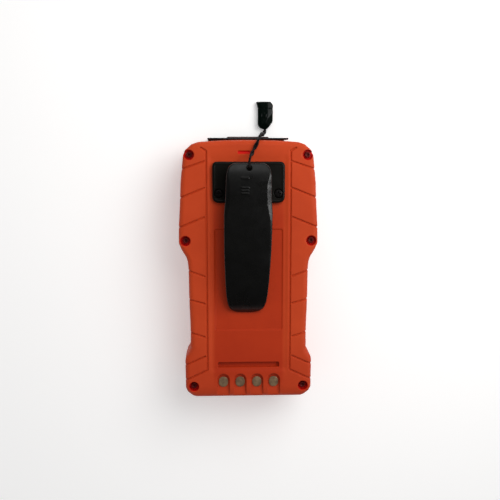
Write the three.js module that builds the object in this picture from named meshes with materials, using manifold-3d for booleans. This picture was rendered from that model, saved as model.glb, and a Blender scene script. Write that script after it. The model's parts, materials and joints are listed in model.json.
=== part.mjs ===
// Portable multi-gas detector with a spring belt clip and a short lanyard.
// Millimetres, +Z up. The detector lies on its front face: z = 0 is the front bumper rim,
// the back with the belt clip points to +Z, the alarm end points to +Y.
import * as THREE from 'three';
import { mergeVertices } from 'three/addons/utils/BufferGeometryUtils.js';
import Module from 'manifold-3d';

const wasm = await Module();
wasm.setup();

// ---------------------------------------------------------------- driving dimensions
const SHIFT_Y = 0.0;            // moves the case so that its box is centred on Y
const FRONT_TOP = 17.0;         // seam of the front shell
const REAR_BOTTOM = 17.3;       // seam of the rear shell, above the gasket
const BACK = 34.0;              // outer face of the back
const WALL = 2.4;               // shell wall
const GROOVE_W = 0.7;           // moulded grooves
const GROOVE_D = 0.8;
const PANEL_Z = 33.6;           // centre panel of the back
const LABEL_Z = 33.2;           // label recess floor
const WELL_R = 2.5;             // case screw wells
const SCREW_SEAT = 30.2;        // bottom of the wells
const PIN_Y = 42.0;             // belt clip pivot
const PIN_Z = 40.2;
const PIN_R = 1.25;
const CLEAR = 0.3;              // gap between neighbouring pieces

// right-hand half of the case outline, from the alarm end down
const HALF = [
  [5, 65.0], [13, 64.8], [20, 64.4], [25.0, 64.0], [28.2, 62.9], [31.5, 59.9], [32.4, 57.7], [32.7, 55.2], [33.1, 51], [33.8, 44], [34.3, 32],
  [34.9, 22], [35.0, 13.6], [33.7, 10.5], [32.4, 8.3], [31.2, 6.3], [30.6, 4.2], [30.3, 1.5], [30.15, -4], [30.1, -12], [29.9, -20],
  [29.6, -27], [29.5, -34], [29.55, -40.2], [30.3, -42.2], [31.2, -43.8], [32.2, -45.4], [32.4, -47.5], [32.3, -54], [32.25, -61.2], [31.3, -63.5],
  [28.9, -65.9], [27.2, -66.8],
];
const WELLS = [[29.5, 57.7], [31.6, 14.9], [28.0, -60.3]];
const DIAGONALS = [
  [21.2, 54.7, 33.3, 50.6], [21.5, 41.5, 34.0, 36.5], [22.1, 26.8, 34.8, 21.6], [22.1, -3.1, 31.2, 0.2],
  [22.2, -17.0, 30.9, -14.7], [22.3, -34.2, 30.6, -31.7], [22.1, -44.4, 32.3, -49.0], [21.0, -51.6, 32.4, -57.0],
];
const CONTACT_X = [-12.9, -4.3, 4.3, 12.9];
const CONTACT_Y = -58.2;
const NOTCH_R = 3.1;             // half the width of a contact notch
const NOTCH_Y = -56.9;
const LEVER_X = -0.27;           // the lever sits a little to one side in its pivot
const LEVER_LEAN = 0.0145;       // and leans towards -X, in mm per mm below the pivot
const PLATE_X = 18.0;
const NOTCH_Z = 32.0;            // floor of the contact notches
const FLARE_DROP = 2.0;          // the front shell widens again this much further down
const WAIST = 0.3;               // the front shell stands out this much round the waist
const SENSOR_X = 10.9, SENSOR_Y = [-17.5, -39.5], SENSOR_R = 9.9;
const KEY_X = 13.0, KEY_Y = 11.0, KEY_R = 4.2;

// ---------------------------------------------------------------- materials
const mat = (color, roughness = 0.6, metalness = 0) => new THREE.MeshStandardMaterial({ color, roughness, metalness });
const ORANGE = mat(0xc04a20, 0.55), BLACK = mat(0x161616, 0.45), RUBBER = mat(0x1c1c1c, 0.85), LENS = mat(0x200a08, 0.15);
const GLASS = mat(0x20262a, 0.08), LCD = mat(0x74806a, 0.3), GREEN = mat(0x1f5a35, 0.5), STEEL = mat(0xb9bcc0, 0.3, 1);
const NICKEL = mat(0xa8a48c, 0.35, 1), WHITE = mat(0xe8e8e4, 0.5), FOIL = mat(0x3b4f8a, 0.4), RED = mat(0xb01818, 0.3);

// ---------------------------------------------------------------- shape helpers
const solid = (geometry) => {
  const g = geometry.clone();
  g.deleteAttribute('normal');
  g.deleteAttribute('uv');
  const m = mergeVertices(g, 1e-4);
  return new wasm.Manifold(new wasm.Mesh({
    numProp: 3,
    vertProperties: new Float32Array(m.attributes.position.array),
    triVerts: new Uint32Array(m.index.array),
  }));
};
const geometryOf = (m) => {
  const mesh = m.getMesh();
  const g = new THREE.BufferGeometry();
  g.setAttribute('position', new THREE.BufferAttribute(new Float32Array(mesh.vertProperties), 3));
  g.setIndex(new THREE.BufferAttribute(new Uint32Array(mesh.triVerts), 1));
  g.computeVertexNormals();
  return g;
};
const shapeOf = (pts) => new THREE.Shape(pts.map(([x, y]) => new THREE.Vector2(x, y)));
const box = (x0, x1, y0, y1, z0, z1) =>
  solid(new THREE.BoxGeometry(x1 - x0, y1 - y0, z1 - z0).translate((x0 + x1) / 2, (y0 + y1) / 2, (z0 + z1) / 2));
const cyl = (x, y, z0, z1, r, n = 16, rTop = r) =>
  solid(new THREE.CylinderGeometry(rTop, r, z1 - z0, n).rotateX(Math.PI / 2).translate(x, y, (z0 + z1) / 2));
const cylX = (x0, x1, y, z, r, n = 16) =>
  solid(new THREE.CylinderGeometry(r, r, x1 - x0, n).rotateZ(-Math.PI / 2).translate((x0 + x1) / 2, y, z));
const cylY = (x, y0, y1, z, r, n = 16) =>
  solid(new THREE.CylinderGeometry(r, r, y1 - y0, n).translate(x, (y0 + y1) / 2, z));
const prism = (pts, z0, z1) =>
  solid(new THREE.ExtrudeGeometry(shapeOf(pts), { depth: z1 - z0, bevelEnabled: false, curveSegments: 4 }).translate(0, 0, z0));
// a prism whose upper edge is chamfered by `drop` downwards and `inset` inwards
const slab = (pts, z0, z1, drop, inset, segments = 1) => {
  const depth = z1 - z0 + 1;
  const g = new THREE.ExtrudeGeometry(shapeOf(pts), {
    depth: depth - drop + 1, bevelEnabled: true, bevelThickness: drop, bevelSize: inset, bevelOffset: -inset,
    bevelSegments: segments, curveSegments: 4,
  }).translate(0, 0, z1 - depth - 1);
  return solid(g).subtract(box(-60, 60, -110, 110, z0 - 40, z0));
};
// a side view (Y, Z) extruded along X
const sideProfile = (pts, x0, x1) => {
  const g = new THREE.ExtrudeGeometry(shapeOf(pts), { depth: x1 - x0, bevelEnabled: false });
  // shape x -> Y, shape y -> Z, depth -> X
  const m = new THREE.Matrix4().set(0, 0, 1, x0, 1, 0, 0, 0, 0, 1, 0, 0, 0, 0, 0, 1);
  return solid(g.applyMatrix4(m));
};
const roundRect = (x0, x1, y0, y1, r0, r1 = r0, n = 3) => {
  const pts = [];
  const arc = (cx, cy, r, a) => {
    for (let i = 0; i <= n; i++) {
      const t = a + (i / n) * Math.PI / 2;
      pts.push([cx + r * Math.cos(t), cy + r * Math.sin(t)]);
    }
  };
  arc(x1 - r0, y0 + r0, r0, -Math.PI / 2);
  arc(x1 - r1, y1 - r1, r1, 0);
  arc(x0 + r1, y1 - r1, r1, Math.PI / 2);
  arc(x0 + r0, y0 + r0, r0, Math.PI);
  return pts;
};
const outline = [...HALF.slice().reverse(), ...HALF.map(([x, y]) => [-x, y])];
// the outline moved inwards by d
const inset = (pts, d) => pts.map((p, i) => {
  const a = pts[(i + pts.length - 1) % pts.length], b = pts[(i + 1) % pts.length];
  const n1 = new THREE.Vector2(p[0] - a[0], p[1] - a[1]).normalize();
  const n2 = new THREE.Vector2(b[0] - p[0], b[1] - p[1]).normalize();
  const m = new THREE.Vector2(-n1.y - n2.y, n1.x + n2.x).normalize();
  const k = d / Math.max(0.5, m.x * -n1.y + m.y * n1.x);
  return [p[0] + m.x * k, p[1] + m.y * k];
});
const frontOutline = outline.map(([x, y]) => (y > -36 && y < 5 ? [x + Math.sign(x) * WAIST, y] : y < -39 && y > -50 ? [x, y - FLARE_DROP] : [x, y]));
const both = (list) => list.flatMap(([x, y]) => [[x, y], [-x, y]]);
const union = (list) => list.reduce((a, b) => a.add(b));

// ---------------------------------------------------------------- scene graph
const detector = new THREE.Group();
detector.position.y = SHIFT_Y;
const caseGroup = new THREE.Group(), frontGroup = new THREE.Group(), electronics = new THREE.Group();
const clipGroup = new THREE.Group(), leverGroup = new THREE.Group(), lanyard = new THREE.Group();
clipGroup.add(leverGroup);
detector.add(caseGroup, frontGroup, electronics, clipGroup, lanyard);
const piece = (group, name, shape, material, x = 0, y = 0, z = 0) => {
  const mesh = new THREE.Mesh(shape.isBufferGeometry ? shape : geometryOf(shape), material);
  mesh.name = name;
  mesh.position.set(x, y, z);
  group.add(mesh);
  return mesh;
};

// ---------------------------------------------------------------- rear shell
const wells = both(WELLS);
const rearSlab = (d, top) => slab(inset(outline, d), REAR_BOTTOM - 0.5, top, 3.2, 2.6, 2);
let rear = slab(outline, REAR_BOTTOM, BACK, 3.2, 2.6, 2);
let rearHollow = slab(inset(outline, WALL), REAR_BOTTOM - 1, 30.8, 2.6, 2.2, 1);
for (const [x, y] of wells) rearHollow = rearHollow.subtract(cyl(x, y, 10, 40, 4.0, 14));
rearHollow = rearHollow
  .subtract(box(-19, 19, -65.2, -46.2, 28.4, 32))
  .subtract(cyl(14.8, 38.7, 28, 32, 3.0, 12)).subtract(cyl(-14.8, 38.7, 28, 32, 3.0, 12));
rear = rear.subtract(rearHollow);
// moulded grooves, cut to an even depth below the skin
const bars = [];
for (const s of [1, -1]) {
  bars.push(box(s * 21 - GROOVE_W / 2, s * 21 + GROOVE_W / 2, -51.6, 60, 20, 36));
  for (const [xa, ya, xb, yb] of DIAGONALS) {
    const len = Math.hypot(xb - xa, yb - ya), ux = (xb - xa) / len, uy = (yb - ya) / len, h = GROOVE_W / 2;
    const ex = xb + ux * 4, ey = yb + uy * 4;
    const quad = [[xa + uy * h, ya - ux * h], [ex + uy * h, ey - ux * h], [ex - uy * h, ey + ux * h], [xa - uy * h, ya + ux * h]];
    const q = s > 0 ? quad : quad.map(([x, y]) => [-x, y]).reverse();
    bars.push(prism(q, 20, 36));
  }
}
const core = rearSlab(GROOVE_D, BACK - GROOVE_D);
rear = rear.subtract(union(bars).subtract(core));
rear = rear
  .subtract(box(-19.4, 19.4, -51.6, 57.0, PANEL_Z, 36))
  .subtract(box(-17.1, 17.1, -30.8, 20.7, LABEL_Z, 36))
  .subtract(prism(roundRect(-15.7, 15.7, -50.5, -47.6, 0.5, 0.5, 1), 31.2, 36))
  .subtract(box(-5.2, 1.2, 58.3, 59.6, 33.4, 36));
for (const [x, y] of wells) rear = rear.subtract(cyl(x, y, SCREW_SEAT, 40, WELL_R, 14)).subtract(cyl(x, y, 10, SCREW_SEAT + 1, 1.2, 12));
for (const x of CONTACT_X) {
  rear = rear.subtract(box(x - NOTCH_R, x + NOTCH_R, -72, NOTCH_Y, NOTCH_Z, 36)).subtract(cyl(x, NOTCH_Y, NOTCH_Z, 36, NOTCH_R, 14))
    .subtract(cyl(x, CONTACT_Y, 25, 33, 1.5, 10));
}
for (const x of [14.8, -14.8]) rear = rear.subtract(cyl(x, 38.7, 26, 36, 1.2, 10));
piece(caseGroup, 'rear_housing', rear, ORANGE);

// ---------------------------------------------------------------- gasket between the shells
const ring = prism(inset(outline, 0.5), FRONT_TOP, REAR_BOTTOM).subtract(prism(inset(outline, 1.4), FRONT_TOP - 1, REAR_BOTTOM + 1));
piece(caseGroup, 'housing_seal', ring, RUBBER);

// ---------------------------------------------------------------- front shell
const flip = (m, z) => m.rotate([0, 180, 0]).translate([0, 0, z]);
let front = flip(slab(frontOutline, 0, FRONT_TOP, 2.6, 2.0, 2), FRONT_TOP);
let frontHollow = prism(inset(outline, WALL), 4.0, FRONT_TOP + 1);
for (const [x, y] of wells) frontHollow = frontHollow.subtract(cyl(x, y, 0, 20, 4.0, 14));
front = front.subtract(frontHollow);
front = front
  .subtract(prism(inset(outline, 4.6), -1, 0.7))                               // recessed face inside the rim
  .subtract(prism(roundRect(-24.3, 24.3, 0.7, 60.3, 2.5, 2.5, 2), -1, 2.4))      // seat of the fascia
  .subtract(box(-21.1, 21.1, 58, 70, -1, 2.4))                                  // fascia passes out at the alarm end
  .subtract(box(-17.5, 17.5, 23, 49, 1, 5))                                     // display opening
  .subtract(prism(roundRect(-23.3, 23.3, -52.3, -5.7, 3.0, 3.0, 2), -1, 2.4))   // seat of the sensor cover
  .subtract(box(-9.5, 9.5, 60, 66, 5, 15.5));                                   // alarm light opening
let chamber = box(-22, 22, -51, -7, 1, 5);
for (const s of [1, -1]) chamber = chamber.subtract(cyl(s * 20.6, -28.5, 0, 6, 3.2, 12));
front = front.subtract(chamber);
for (const s of [1, -1]) front = front.add(cyl(s * 20.6, -28.5, 2.4, 9, 3.2, 12));
for (const s of [1, -1]) front = front.subtract(cyl(s * 20.6, -28.5, 1, 8.4, 1.15, 8));
for (const x of [-KEY_X, 0, KEY_X]) front = front.subtract(cyl(x, KEY_Y, 0, 5, KEY_R + CLEAR, 16));
for (const [x, y] of wells) front = front.subtract(cyl(x, y, 7, 18, 1.15, 8));
piece(frontGroup, 'front_housing', front, ORANGE);

// ---------------------------------------------------------------- fascia with its wrap over the alarm end
let fascia = prism(roundRect(-24, 24, 1, 60, 2.2, 2.2, 2), 0.9, 2.4).add(box(-20.4, 20.4, 56, 66.15, 0.9, 2.4))
  .add(box(-20.4, 20.4, 65.2, 66.15, 0.9, 27));
fascia = fascia.subtract(box(-19.8, 19.8, 20.7, 51.3, 0, 3)).subtract(box(-11, 11, 64, 68, 3.2, 24.8));
for (const x of [-KEY_X, 0, KEY_X]) fascia = fascia.subtract(cyl(x, KEY_Y, 0, 5, KEY_R + CLEAR, 16));
piece(frontGroup, 'fascia', fascia, BLACK);
piece(frontGroup, 'alarm_lens', slab(roundRect(-10.7, 10.7, -24.5, -3.5, 1.2, 1.2, 2), 65.3, 66.8, 0.5, 0.5).rotate([-90, 0, 0]), LENS);
piece(frontGroup, 'display_window', box(-19.5, 19.5, 21, 51, 1.0, 2.4), GLASS);
piece(electronics, 'lcd_panel', box(-19, 19, 21.5, 50.5, 4.3, 6.0), LCD);
piece(electronics, 'backlight_frame', box(-20.5, 20.5, 19.8, 52.2, 4.3, 9.0).subtract(box(-19.3, 19.3, 21.2, 50.8, 4, 6.1)), WHITE);

// ---------------------------------------------------------------- keys
const keyShape = union([cyl(0, 0, 0.4, 4.3, KEY_R, 20), cyl(0, 0, 4.1, 4.9, 5.2, 20), cyl(0, 0, 4.8, 5.6, 1.5, 10)]);
const keyGeometry = geometryOf(keyShape);
const switchGeometry = geometryOf(box(-3, 3, -3, 3, 7.3, 9.3).add(cyl(0, 0, 6.5, 7.5, 1.6, 10)));
for (const [name, x] of [['left', -KEY_X], ['power', 0], ['right', KEY_X]]) {
  piece(frontGroup, `key_${name}`, keyGeometry, name === 'power' ? RED : RUBBER, x, KEY_Y);
  piece(electronics, `key_switch_${name}`, switchGeometry, STEEL, x, KEY_Y);
}
let keySeal = box(-20.5, 20.5, 4, 18, 4.1, 4.8);
for (const x of [-KEY_X, 0, KEY_X]) keySeal = keySeal.subtract(cyl(x, KEY_Y, 3, 6, 5.5, 16));
piece(frontGroup, 'keypad_seal', keySeal, RUBBER);

// ---------------------------------------------------------------- gas sensors and their cover
const sensorSpots = [
  ['sensor_oxygen', -SENSOR_X, SENSOR_Y[0]], ['sensor_combustible', SENSOR_X, SENSOR_Y[0]],
  ['sensor_carbon_monoxide', -SENSOR_X, SENSOR_Y[1]], ['sensor_hydrogen_sulfide', SENSOR_X, SENSOR_Y[1]],
];
let cover = slab(roundRect(-23, 23, -52, -6, 2.7, 2.7, 2), 0, 1.5, 0.4, 0.4).rotate([0, 180, 0]).translate([0, 0, 2.4]);
let gasket = box(-21.7, 21.7, -50.7, -7.3, 2.4, 3.6);
sensorSpots.forEach(([, x, y]) => {
  cover = cover.subtract(cyl(x, y, 0, 3, 5.5, 20));
  gasket = gasket.subtract(cyl(x, y, 2, 4, 8.3, 20));
});
for (const s of [1, -1]) {
  cover = cover.subtract(cyl(s * 20.6, -28.5, 0, 1.8, 2.15, 12)).subtract(cyl(s * 20.6, -28.5, 0, 3, 1.25, 8));
  gasket = gasket.subtract(cyl(s * 20.6, -28.5, 2, 4, 3.5, 12));
}
piece(frontGroup, 'sensor_cover', cover, BLACK);
piece(frontGroup, 'sensor_gasket', gasket, RUBBER);
const sensorGeometry = geometryOf(cyl(0, 0, 3.8, 18.4, SENSOR_R, 24).add(cyl(0, 0, 18.2, 20.2, 8.6, 16)).subtract(cyl(0, 0, 3, 4.6, 5.0, 16)));
const filterGeometry = geometryOf(cyl(0, 0, 2.6, 3.3, 8.0, 24));
sensorSpots.forEach(([name, x, y], i) => {
  piece(electronics, name, sensorGeometry, WHITE, x, y);
  piece(frontGroup, `sensor_filter_${i + 1}`, filterGeometry, WHITE, x, y);
});
const coverScrew = geometryOf(cyl(0, 0, 0.95, 1.7, 1.9, 12).subtract(box(-0.25, 0.25, -1.3, 1.3, 0, 1.3)).add(cyl(0, 0, 1.6, 7.5, 1.0, 8)));
piece(frontGroup, 'sensor_cover_screw_1', coverScrew, STEEL, 20.6, -28.5);
piece(frontGroup, 'sensor_cover_screw_2', coverScrew, STEEL, -20.6, -28.5);

// ---------------------------------------------------------------- boards, battery and alarms
piece(electronics, 'main_board', box(-24.5, 24.5, -6.8, 57, 9.3, 10.9), GREEN);
piece(electronics, 'sensor_board', box(-24, 24, -52, -4, 20.5, 22.1), GREEN);
piece(electronics, 'board_header', box(-8, 8, -6.6, -4.4, 10.9, 20.5), BLACK);
piece(electronics, 'battery_pack', prism(roundRect(-24, 24, 3, 55, 2, 2, 2), 13.2, 22.2), FOIL);
piece(electronics, 'battery_plug', box(-21, -15, -3, 1.5, 10.9, 14.5), WHITE);
const circle = (r, n) => shapeOf(Array.from({ length: n }, (_, i) => [r * Math.cos(2 * Math.PI * i / n), r * Math.sin(2 * Math.PI * i / n)]));
const along = (pts, r, sides, steps) => new THREE.ExtrudeGeometry(circle(r, sides), {
  steps, bevelEnabled: false, extrudePath: new THREE.CatmullRomCurve3(pts.map((p) => new THREE.Vector3(...p)), false, 'centripetal'),
});
piece(electronics, 'battery_lead', solid(along([[-18, 2.7, 18.2], [-18, 1.2, 18.0], [-18, -0.4, 17.0], [-18, -0.8, 14.8]], 0.9, 8, 8)), RED);
piece(electronics, 'buzzer', cyl(0, 0, 22.1, 26.6, 6.5, 20).subtract(cyl(0, 0, 25, 27, 1.0, 8)), BLACK, 13, -20);
piece(electronics, 'vibration_motor', cylY(0, -26, -14, 25.4, 3.2, 16).subtract(cylY(0, -17, -13, 25.4, 0.8, 8)), STEEL, -13, 0);
let weight = cylY(0, -13.2, -9.4, 25.4, 2.9, 20).subtract(box(-4, 4, -14, -9, 25.4, 30)).add(cylY(0, -13.2, -9.4, 25.4, 1.2, 12));
weight = weight.add(cylY(0, -16.6, -13.0, 25.4, 0.5, 8));
piece(electronics, 'vibration_weight', weight, NICKEL, -13, 0);
const led = geometryOf(cylY(0, 57.3, 61.0, 11, 1.6, 12));
piece(electronics, 'alarm_led_left', led, RED, -6, 0);
piece(electronics, 'alarm_led_right', led, RED, 6, 0);

// ---------------------------------------------------------------- charging contacts
const contact = geometryOf(cyl(0, 0, 27.4, 32.2, 1.2, 12).add(prism(roundRect(-2.4, 2.4, -2.7, 2.7, 2.3, 2.3, 5), 32.1, 32.9)));
CONTACT_X.forEach((x, i) => piece(electronics, `charge_contact_${i + 1}`, contact, NICKEL, x, CONTACT_Y));
piece(electronics, 'contact_board', box(-18, 18, -62.6, -52, 26.2, 27.4), GREEN);

// ---------------------------------------------------------------- case screws
const caseScrew = geometryOf(cyl(0, 0, 30.3, 32.0, 1.5, 20).subtract(cyl(0, 0, 31.1, 33, 0.7, 6)).add(cyl(0, 0, 8, 30.4, 1.0, 12)));
wells.forEach(([x, y], i) => piece(caseGroup, `case_screw_${i + 1}`, caseScrew, STEEL, x, y));

// ---------------------------------------------------------------- belt clip
let plate = slab(roundRect(-PLATE_X, PLATE_X, 34.0, 54.4, 3.3, 2.2, 3), PANEL_Z, 36.4, 0.6, 0.6);
for (const s of [1, -1]) {
  const x0 = s > 0 ? 5.2 : -7.4;
  plate = plate.add(cylX(x0, x0 + 2.2, PIN_Y, PIN_Z, 2.1, 16)).add(box(x0, x0 + 2.2, PIN_Y - 2.1, PIN_Y + 2.1, 35.5, PIN_Z));
}
plate = plate.subtract(cylX(-9, 9, PIN_Y, PIN_Z, PIN_R + 0.25, 12));
for (const x of [14.8, -14.8]) plate = plate.subtract(cyl(x, 38.7, 35.0, 38, 2.3, 14)).subtract(cyl(x, 38.7, 30, 38, 1.2, 10));
piece(clipGroup, 'clip_plate', plate, BLACK);
const clipScrew = geometryOf(cyl(0, 0, 35.1, 36.4, 2.0, 14, 1.7).subtract(box(-1.2, 1.2, -0.25, 0.25, 35.9, 37)).subtract(box(-0.25, 0.25, -1.2, 1.2, 35.9, 37)).add(cyl(0, 0, 29, 35.2, 0.9, 8)));
piece(clipGroup, 'clip_screw_left', clipScrew, STEEL, -14.8, 38.7);
piece(clipGroup, 'clip_screw_right', clipScrew, STEEL, 14.8, 38.7);
piece(clipGroup, 'clip_pin', cylX(-10.8, 10.8, PIN_Y, PIN_Z, PIN_R, 16), STEEL, LEVER_X);

const LEVER = [
  [7.4, 53.8], [8.9, 53.0], [9.9, 51.8], [10.6, 50], [11.0, 47.5], [11.15, 43.5], [11.2, 39.3], [11.35, 36], [11.55, 33.4],
  [11.75, 31], [11.85, 28.5], [11.8, 24], [11.72, 18], [11.6, 12], [11.4, 6.5], [11.1, 0.5], [10.8, -5.5], [10.3, -11.5],
  [9.8, -15.2], [9.1, -17.8], [8.1, -19.5], [6.4, -20.8], [4.2, -21.4], [2, -21.6],
];
const leverPlan = [...LEVER.slice().reverse(), ...LEVER.map(([x, y]) => [-x, y])].map(([x, y]) => [x + LEVER_LEAN * (y - PIN_Y), y]);
const leverSide = [
  [53.8, 41.0], [53.8, 42.7], [52.8, 43.6], [49, 44.7], [42, 45.2], [30, 45.0], [15, 44.5], [3, 43.6], [-6, 42.2],
  [-12, 40.5], [-16.5, 38.4], [-19.6, 36.0], [-21.6, 33.6], [-19.2, 33.6], [-15.8, 35.9], [-11, 38.1], [-7.5, 39.4], [-6, 39.5],
  [37.4, 39.5], [38.4, 38.5], [40.2, 38.0], [43.8, 38.0], [45.6, 38.5], [46.6, 41.0],
].reverse();
let lever = prism(leverPlan, 30, 50).intersect(sideProfile(leverSide, -20, 20));
const leverHollow = [
  [52.6, 30], [52.6, 42.3], [49, 42.9], [42, 42.9], [30, 42.8], [15, 42.4], [3, 41.5], [-4, 40.5], [-8, 39.6], [-12, 37.6], [-12, 30],
].reverse();
lever = lever.subtract(prism(inset(leverPlan, 2.0), 29, 51).intersect(sideProfile(leverHollow, -20, 20)));
lever = lever.subtract(cylX(-13, 13, PIN_Y, PIN_Z, PIN_R + 0.25, 12)).subtract(cyl(-LEVER_X, 51.4, 40, 46, 1.2, 12));
for (const [y, z] of [[46.6, 44.6], [42.0, 44.95], [40.6, 44.95], [39.2, 44.9]]) lever = lever.add(box(-3.9, 0.3, y - 0.35, y + 0.35, z, z + 0.55));
piece(leverGroup, 'clip_lever', lever, BLACK, LEVER_X);

// torsion spring: coil round the pin, one leg on the plate, one leg under the thumb end
class Spring extends THREE.Curve {
  getPoint(t, target = new THREE.Vector3()) {
    const turns = 4.5, coil = 0.76, R = 2.25;
    const start = -Math.PI / 2, end = start + turns * 2 * Math.PI;
    if (t < 0.12) { const k = t / 0.12; return target.set(-4.2, PIN_Y + 5.5 - 5.5 * k, PIN_Z - R); }
    if (t > 1 - 0.12) { const k = (t - (1 - 0.12)) / 0.12; return target.set(4.2, PIN_Y + 5.5 * k, PIN_Z + R - 1.9 * k); }
    const k = (t - 0.12) / coil, a = start - (end - start) * k;
    return target.set(-4.2 + 8.4 * k, PIN_Y + R * Math.cos(a), PIN_Z + R * Math.sin(a));
  }
}
piece(clipGroup, 'clip_spring', solid(new THREE.ExtrudeGeometry(circle(0.38, 8), { steps: 84, bevelEnabled: false, extrudePath: new Spring() })), STEEL);

// ---------------------------------------------------------------- lanyard
const EYE = [0, 53.0, 42.3];
piece(leverGroup, 'lanyard_eye', solid(new THREE.TorusGeometry(2.2, 0.5, 8, 20).rotateY(Math.PI / 2).translate(...EYE)), RUBBER);
const CORD_R = 0.9;
const CORD = [
  [0.5, 56.5, 42.2], [1.05, 57.5, 40.7], [1.75, 58.8, 38.5], [2.6, 60.3, 36.7], [3.5, 62.1, 35.5], [4.6, 64.3, 35.1], [5.5, 66.0, 33.5],
  [6.3, 67.3, 30.4], [7.0, 68.0, 26.0], [7.6, 68.2, 20.0], [8.2, 68.2, 12.0], [8.8, 68.5, 6.6], [9.4, 69.1, 3.9], [9.9, 70.0, 2.65], [10.12, 71.05, 2.45],
];
piece(lanyard, 'lanyard_cord', solid(along(CORD, CORD_R, 8, 26)), RUBBER);
const tab = [[-1.8, 0], [1.8, 0], [3.3, 1.5], [4.1, 4.0], [4.1, 13.0], [3.1, 14.2], [-4.9, 14.2], [-4.1, 11.4], [-4.1, 4.0], [-3.3, 1.5]];
piece(lanyard, 'lanyard_connector', slab(tab, 0, 2.4, 0.7, 0.7).add(slab(tab, 0, 2.4, 0.7, 0.7).rotate([0, 180, 0]).translate([0, 0, 0])).translate([0, 0, 2.45]), BLACK, 10.15, 71.4);

export default detector;
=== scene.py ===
import json
import math
import bpy
import numpy as np
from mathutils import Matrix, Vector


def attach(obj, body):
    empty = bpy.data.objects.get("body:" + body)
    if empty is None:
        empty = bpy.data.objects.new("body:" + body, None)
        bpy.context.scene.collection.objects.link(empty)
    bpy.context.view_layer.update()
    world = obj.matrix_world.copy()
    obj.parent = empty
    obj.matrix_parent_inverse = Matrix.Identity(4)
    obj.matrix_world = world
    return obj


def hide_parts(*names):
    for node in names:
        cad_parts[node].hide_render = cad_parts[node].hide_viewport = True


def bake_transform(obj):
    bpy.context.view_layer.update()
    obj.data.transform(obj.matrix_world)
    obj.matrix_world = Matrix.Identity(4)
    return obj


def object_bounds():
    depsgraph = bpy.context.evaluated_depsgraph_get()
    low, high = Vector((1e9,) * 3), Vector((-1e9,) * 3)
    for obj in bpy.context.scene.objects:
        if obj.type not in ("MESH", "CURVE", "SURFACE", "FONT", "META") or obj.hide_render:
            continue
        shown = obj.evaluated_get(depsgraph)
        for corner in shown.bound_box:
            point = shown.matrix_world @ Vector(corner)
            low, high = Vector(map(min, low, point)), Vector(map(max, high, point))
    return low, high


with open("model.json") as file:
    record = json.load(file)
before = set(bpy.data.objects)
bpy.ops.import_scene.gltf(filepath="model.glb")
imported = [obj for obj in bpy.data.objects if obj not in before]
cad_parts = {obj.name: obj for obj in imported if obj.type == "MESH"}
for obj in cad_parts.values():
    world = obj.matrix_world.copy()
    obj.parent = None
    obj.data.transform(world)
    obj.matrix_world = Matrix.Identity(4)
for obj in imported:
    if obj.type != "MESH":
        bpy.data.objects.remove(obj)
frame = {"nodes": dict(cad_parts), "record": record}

import openvdb as vdb
from mathutils import Matrix, Vector

LO0, HI0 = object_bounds()
MM = 0.001
SH = 0.0                       # the CAD source's shift along Y, in mm: shapes below use the source's own millimetres


def P(x, y, z):
    """A point of the CAD source, in mm, as a point of the row frame, in metres."""
    return Vector((x * MM, (y + SH) * MM, z * MM))


# ------------------------------------------------------------------ camera
cam_data = bpy.data.cameras.new("camera")
cam = bpy.data.objects.new("camera", cam_data)
bpy.context.scene.collection.objects.link(cam)
bpy.context.scene.camera = cam
TARGET = P(0.975, 9.537, 28.0)
BACKWARD = Vector((-math.sin(math.radians(2.4)), math.sin(math.radians(7.4)), 0.0))
BACKWARD.z = math.sqrt(1 - BACKWARD.x ** 2 - BACKWARD.y ** 2)
RIGHT = Vector((0, 1, 0)).cross(BACKWARD).normalized()
UP = BACKWARD.cross(RIGHT)
cam.matrix_world = Matrix.Translation(TARGET + BACKWARD * 0.380) @ Matrix((RIGHT, UP, BACKWARD)).transposed().to_4x4()
cam_data.lens, cam_data.sensor_width = 53.65, 36.0
cam_data.clip_start, cam_data.clip_end = 0.01, 20.0

# ------------------------------------------------------------------ node helpers for materials
def material(name, base, rough=0.5, metal=0.0, **more):
    m = bpy.data.materials.new(name)
    m.use_nodes = True
    nt = m.node_tree
    b = nt.nodes["Principled BSDF"]
    b.inputs["Base Color"].default_value = (*base, 1)
    b.inputs["Roughness"].default_value = rough
    b.inputs["Metallic"].default_value = metal
    for k, v in more.items():
        b.inputs[k.replace("_", " ")].default_value = v
    return m, nt, b


def coords(nt, scale=(1, 1, 1)):
    tc = nt.nodes.new("ShaderNodeTexCoord")
    mp = nt.nodes.new("ShaderNodeMapping")
    mp.inputs["Scale"].default_value = scale
    nt.links.new(tc.outputs["Object"], mp.inputs["Vector"])
    return mp.outputs["Vector"]


def noise(nt, vec, scale, detail=3.0, rough=0.5):
    n = nt.nodes.new("ShaderNodeTexNoise")
    n.inputs["Scale"].default_value = scale
    n.inputs["Detail"].default_value = detail
    n.inputs["Roughness"].default_value = rough
    nt.links.new(vec, n.inputs["Vector"])
    return n.outputs["Fac"]


def ramp(nt, fac, stops):
    r = nt.nodes.new("ShaderNodeValToRGB")
    e = r.color_ramp.elements
    while len(e) < len(stops):
        e.new(0.5)
    for el, (pos, col) in zip(e, stops):
        el.position = pos
        el.color = col if len(col) == 4 else (*col, 1)
    nt.links.new(fac, r.inputs["Fac"])
    return r.outputs["Color"]


def bump(nt, b, height, strength, distance):
    n = nt.nodes.new("ShaderNodeBump")
    n.inputs["Strength"].default_value = strength
    n.inputs["Distance"].default_value = distance
    nt.links.new(height, n.inputs["Height"])
    nt.links.new(n.outputs["Normal"], b.inputs["Normal"])
    return n


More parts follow.
